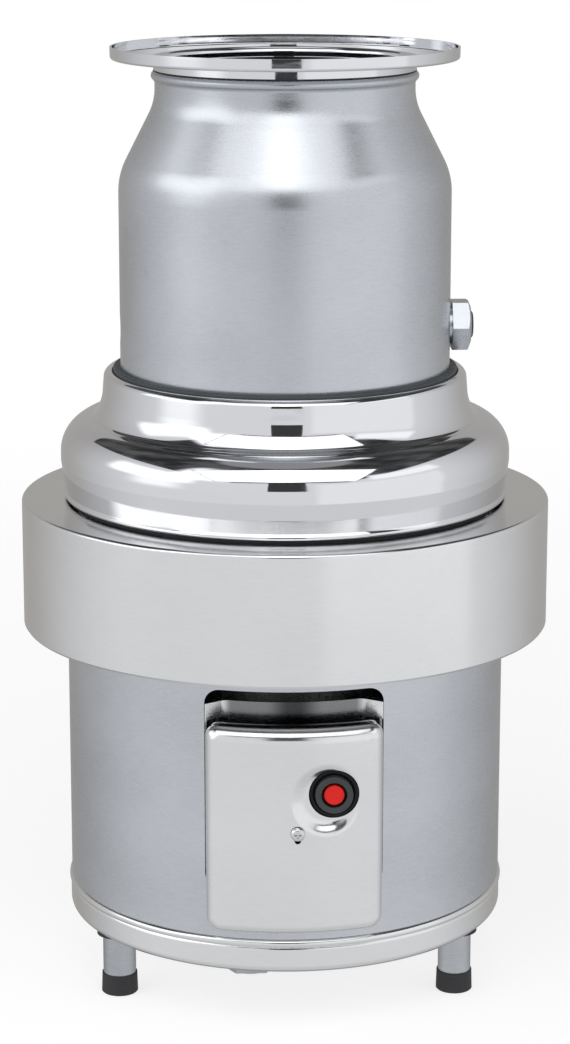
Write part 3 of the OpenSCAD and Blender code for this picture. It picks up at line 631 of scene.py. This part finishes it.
def box_piece():
    """The terminal box, whose curved lip above the cover turns forward at both ends."""
    low, high = (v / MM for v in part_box("terminal_box"))
    half, back = high.x, high.y
    lip_low = high.z - 20
    # The lip's radius, where its ends reach the sides, how tightly they turn and how wide they are
    lip_r, edge_y, bend, end_width = 137.0, -138.2, 9.0, 15.0

    def plan(inset):
        """The box's outline seen from above, moved in by inset."""
        r = lip_r - inset
        side = half - inset
        end_x = side - end_width
        end_y = -math.sqrt(r * r - end_x * end_x)
        front = arc((0, 0), r, math.degrees(math.atan2(end_y, -end_x)), -90, 20)
        turn = arc((end_x, end_y - bend + inset), bend - inset, 90, 60, 8)
        edge = [(side, turn[-1][1])] if inset else [(half - 0.6, edge_y), (half, edge_y)]
        right = [(-x, y) for x, y in front[::-1][1:-1]] + turn + edge + [(side, back - inset)]
        left = [(-x, y) for x, y in right[::-1]]
        return left + [(0.0, -r)] + right

    bm = bmesh.new()
    prism(bm, plan(0.0), low.z, high.z)
    piece = link("terminal_tray", bm)
    hollow = bmesh.new()
    prism(hollow, plan(SHEET), low.z + SHEET, high.z - SHEET)
    cut(piece, hollow)
    front_y = -150

    def cut_block(left, right, back_y, block_low, block_high):
        """Takes a block that reaches in from the front out of the box."""
        block = bmesh.new()
        corners = [(left, front_y), (right, front_y), (right, back_y), (left, back_y)]
        prism(block, corners, block_low, block_high)
        cut(piece, block)

    cut_block(SHEET - half, half - SHEET, -110, low.z + SHEET, lip_low)
    cover_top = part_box("terminal_cover")[1].z / MM
    for left, right in ((-half - 1, end_width - half), (half - end_width, half + 1)):
        cut_block(left, right, -128.6, low.z - 1, cover_top + 0.2)
    hole = bmesh.new()
    prism(hole, circle(middle(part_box("conduit_gland")), 13.1, 45), low.z - 1, low.z + 3)
    cut(piece, hole)
    screw = middle(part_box("cover_screw"))
    screw_at = Matrix.Translation((screw[0] * MM, 0, screw[2] * MM)) @ FRONT
    hole_r, boss_r, boss_low, boss_high = 2.5, 5, SHEET - back, -low.y
    outline = [(hole_r, boss_high), (hole_r, boss_low), (boss_r, boss_low), (boss_r, boss_high)]
    boss = turned(outline)
    bmesh.ops.transform(boss, matrix=screw_at, verts=boss.verts)
    boss.from_mesh(piece.data)
    boss.to_mesh(piece.data)
    boss.free()
    finished(piece, "terminal_box")
    # The box takes the lip steel with painted shade in its middle and painted highlights at its
    # ends
    piece.data.materials[0] = special["terminal_box"]


# ------------------------------------------------------------------ reset spring


def spring_piece():
    """The reset button's coil spring, wound to fill its CAD node's box."""
    low, high = (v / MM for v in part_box("reset_spring"))
    centre = (low + high) / 2
    wire_r, turns, steps, sides = 0.5, 4, 30, 12
    coil_r = (high.x - low.x) / 2 - wire_r
    pitch = (high.y - low.y - 2 * wire_r) / (turns * steps)
    bm = bmesh.new()
    rings = []
    for i in range(turns * steps + 1):
        turn = 2 * math.pi * i / steps
        ring = []
        for j in range(sides):
            round_wire = 2 * math.pi * j / sides
            r = coil_r + wire_r * math.cos(round_wire)
            y = high.y - wire_r - pitch * i + wire_r * math.sin(round_wire)
            place = (centre.x + r * math.cos(turn), y, centre.z + r * math.sin(turn))
            ring.append(bm.verts.new(Vector(place) * MM))
        rings.append(ring)
    for this, following in zip(rings, rings[1:]):
        for j in range(sides):
            bm.faces.new((this[j - 1], following[j - 1], following[j], this[j]))
    bm.faces.new(rings[0])
    bm.faces.new(rings[-1][::-1])
    bmesh.ops.recalc_face_normals(bm, faces=bm.faces)
    piece = link("reset_coil", bm)
    finished(piece, "reset_spring", 60.0)
    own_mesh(piece)


flange_piece()
chamber_piece()
trim_piece()
ring_piece()
pan_piece()
cover_piece()
box_piece()
spring_piece()


# ------------------------------------------------------------------ studio


def emitter(name, strength):
    """A material that only gives light, with its node tree and its emission node."""
    made = bpy.data.materials.new(name)
    made.use_nodes = True
    tree = made.node_tree
    tree.nodes.remove(tree.nodes["Principled BSDF"])
    glow = add(tree, "ShaderNodeEmission", {"Color": grey(1.0), "Strength": strength})
    tree.links.new(glow.outputs[0], tree.nodes["Material Output"].inputs["Surface"])
    return made, tree, glow


def studio_floor():
    """A wide pale floor that only the camera sees, fading to the background's plain white."""
    bm = bmesh.new()
    bmesh.ops.create_grid(bm, x_segments=40, y_segments=40, size=40.0)
    floor = link("studio_floor", bm)
    made, tree, white = emitter("studio_floor", 1.0)
    matt = add(tree, "ShaderNodeBsdfDiffuse", {"Color": grey(0.42)})
    glow = add(tree, "ShaderNodeEmission", {"Color": grey(1.0), "Strength": 0.73})
    near = add(tree, "ShaderNodeAddShader", {0: matt.outputs[0], 1: glow.outputs[0]})
    length = add(tree, "ShaderNodeVectorMath", {0: on_object(tree)}, operation="LENGTH")
    away = length.outputs["Value"]
    inputs = {0: remap(tree, away, 0.5, 2.0), 1: near.outputs[0], 2: white.outputs[0]}
    both = add(tree, "ShaderNodeMixShader", inputs)
    tree.links.new(both.outputs[0], tree.nodes["Material Output"].inputs["Surface"])
    floor.data.materials.append(made)
    floor.visible_glossy = False
    floor.visible_diffuse = False


def softbox():
    """A large tilted softbox in front and above, brighter in the middle, in a thin black frame."""
    middle_x = -0.1
    low, high = Vector((middle_x, -2.0, 1.41)), Vector((middle_x, -0.856, 2.17))
    half, border = 1.45, 0.035
    up = (high - low).normalized()
    bm = bmesh.new()
    for grow, back in ((0.0, 0.0), (border, 0.01)):
        behind = Vector((0.0, -up.z, up.y)) * back
        corners = [low - up * grow, low - up * grow, high + up * grow, high + up * grow]
        across = [-half - grow, half + grow, half + grow, -half - grow]
        places = [c + behind + Vector((x, 0.0, 0.0)) for c, x in zip(corners, across)]
        face = bm.faces.new([bm.verts.new(place) for place in places])
        face.material_index = int(grow > 0.0)
    box = link("softbox", bm)
    made, tree, glow = emitter("softbox_light", 1.0)
    side = add(tree, "ShaderNodeSeparateXYZ", {0: on_object(tree)}).outputs[0]
    off = calc(tree, "ABSOLUTE", calc(tree, "SUBTRACT", side, middle_x))
    tree.links.new(remap(tree, off, 0.05, 0.75, 2.1, 1.35), glow.inputs["Strength"])
    box.data.materials.append(made)
    box.data.materials.append(emitter("softbox_frame", 0.01)[0])
    box.visible_camera = False


def dark_flag():
    """A black panel below the softbox, that the polished parts show as a dark patch."""
    left, right, low, high = -0.38, 0.28, 0.37, 1.395
    bm = bmesh.new()
    corners = [(left, low), (right, low), (right, high), (left, high)]
    bm.faces.new([bm.verts.new((x, -2.01, z)) for x, z in corners])
    flag = link("dark_flag", bm)
    flag.data.materials.append(emitter("flag_black", 0.05)[0])
    flag.visible_camera = False
    flag.visible_diffuse = False


def add_light(tree, light, mask, strength):
    """light where mask is 0 and strength where it is 1."""
    inputs = {0: mask, 2: light, 3: strength}
    return add(tree, "ShaderNodeMix", inputs, data_type="FLOAT").outputs[0]


def studio_world():
    """Pale walls and floor, a charcoal ceiling, and the light panels the polished parts show."""
    world = bpy.data.worlds.new("studio")
    scene.world = world
    world.use_nodes = True
    tree = world.node_tree
    ray = add(tree, "ShaderNodeTexCoord").outputs["Generated"]
    x, y, z = add(tree, "ShaderNodeSeparateXYZ", {0: ray}).outputs
    # The ray's direction in degrees: up from level, and round from the front to the right
    rise = calc(tree, "DEGREES", calc(tree, "ARCSINE", z))
    turn = calc(tree, "DEGREES", calc(tree, "ARCTAN2", x, calc(tree, "MULTIPLY", y, -1.0)))
    away = calc(tree, "ABSOLUTE", turn)

    def window(value, low, high, soft):
        """1 where value is between low and high and 0 elsewhere, with soft edges."""
        into = remap(tree, value, low - soft, low + soft)
        out = remap(tree, value, high - soft, high + soft, 1.0, 0.0)
        return calc(tree, "MULTIPLY", into, out)

    def panel(turns, rises, soft=1.5, tall=1.5, value=None):
        """A light panel's mask, from its turns and rises and how soft its edges are."""
        across = window(value or turn, *turns, soft)
        return calc(tree, "MULTIPLY", across, window(rise, *rises, tall))

    # The ceiling starts at its own height over the sides, the front and the back
    top = calc(tree, "MULTIPLY", calc(tree, "ABSOLUTE", x), 0.85)
    for share in (-0.5, 0.62):
        top = calc(tree, "MAXIMUM", top, calc(tree, "MULTIPLY", y, share))
    wall = remap(tree, away, 70.0, 155.0, 0.82, 0.42)
    wall = calc(tree, "MULTIPLY", wall, remap(tree, rise, -50.0, -6.0, 0.8, 1.0))
    clouds = {"Vector": ray, "Scale": 4.0, "Detail": 3.0}
    cloud = add(tree, "ShaderNodeTexNoise", clouds).outputs["Fac"]
    ceiling = remap(tree, cloud, 0.35, 0.7, 0.03, 0.12)
    ceiling = add_light(tree, ceiling, remap(tree, rise, 70.0, 74.0), 0.3)
    above = remap(tree, calc(tree, "SUBTRACT", z, top), -0.015, 0.015)
    light = add_light(tree, wall, above, ceiling)
    # Each panel's mask, from its turns and rises in degrees, and its strength
    parts = [
        (panel((14.0, 84.0), (-16.0, 20.0), 3.0, 2.5), 0.95),
        (panel((-66.0, -34.0), (26.0, 56.0), 7.0, 7.0), 2.0),
        (panel((-84.0, -58.0), (-6.0, 30.0), 8.0, 6.0), 1.25),
        (panel((-104.0, -52.0), (12.0, 31.0), 6.0, 5.0), 1.7),
        (panel((44.0, 88.0), (24.0, 36.0), 3.0, 3.0), 1.15),
        (panel((130.0, 181.0), (64.0, 80.0), value=away), 1.1),
    ]
    for mask, strength in parts:
        light = add_light(tree, light, mask, strength)
    seen = add(tree, "ShaderNodeLightPath").outputs["Is Camera Ray"]
    background = tree.nodes["Background"]
    warm = blend(tree, remap(tree, y, 0.3, 0.9), (0.985, 0.99, 1.0, 1.0), (1.0, 0.965, 0.93, 1.0))
    tree.links.new(blend(tree, seen, warm, grey(1.0)), background.inputs["Color"])
    tree.links.new(add_light(tree, light, seen, 1.0), background.inputs["Strength"])


def camera():
    """A camera with the place and lens that were fitted to the photograph."""
    made = bpy.data.cameras.new("camera")
    made.sensor_width = 36.0
    made.lens = 101.8
    made.clip_end = 200.0
    view = bpy.data.objects.new("camera", made)
    scene.collection.objects.link(view)
    view.location = (-0.0829, -1.9532, 0.7724)
    view.rotation_euler = (math.radians(90.0 - 13.26), 0.0, math.radians(-2.43))
    scene.camera = view


studio_floor()
softbox()
dark_flag()
studio_world()
camera()
